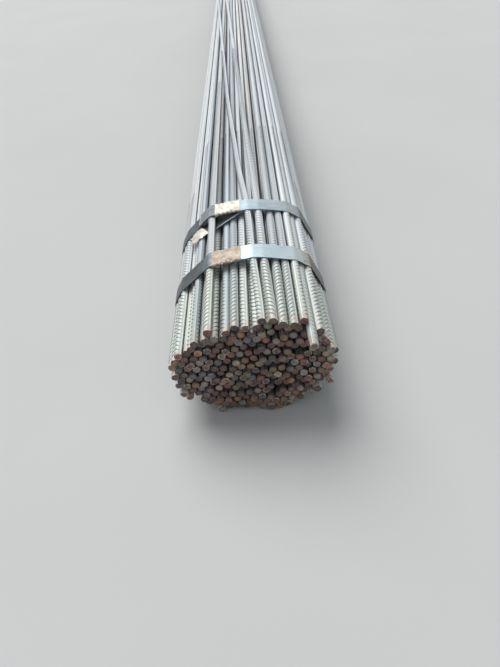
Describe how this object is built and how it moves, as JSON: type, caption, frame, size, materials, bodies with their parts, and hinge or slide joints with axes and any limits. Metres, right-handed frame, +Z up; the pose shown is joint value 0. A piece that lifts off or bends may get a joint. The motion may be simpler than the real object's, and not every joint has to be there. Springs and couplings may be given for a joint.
{
  "type": "rebar bundle",
  "caption": "Long bundle of ribbed steel reinforcing bars in a flattened round section, held by flat steel straps with crimped seals.",
  "frame": {"origin": "middle of the bundle's footprint on the floor", "axes": "+Y along the bars, away from the end with the bar that sticks out; +X across the bundle; +Z up"},
  "size_m": [0.2066, 6.036, 0.155],
  "materials": {
    "bar_steel": "hot-rolled mill scale with rusty cut ends",
    "strap_steel": "blued strapping steel",
    "seal_steel": "bare and lightly rusted sheet steel"
  },
  "bodies": {
    "root": {"inner_bars": "bar_steel", "outer_bars": "bar_steel", "raised_bar": "bar_steel", "crossing_bars": "bar_steel", "strap_1": "strap_steel", "strap_2": "strap_steel", "strap_3": "strap_steel", "strap_4": "strap_steel", "strap_5": "strap_steel", "seal_1": "seal_steel", "seal_2": "seal_steel", "seal_3": "seal_steel", "seal_4": "seal_steel", "seal_5": "seal_steel"}
  },
  "joints": []
}
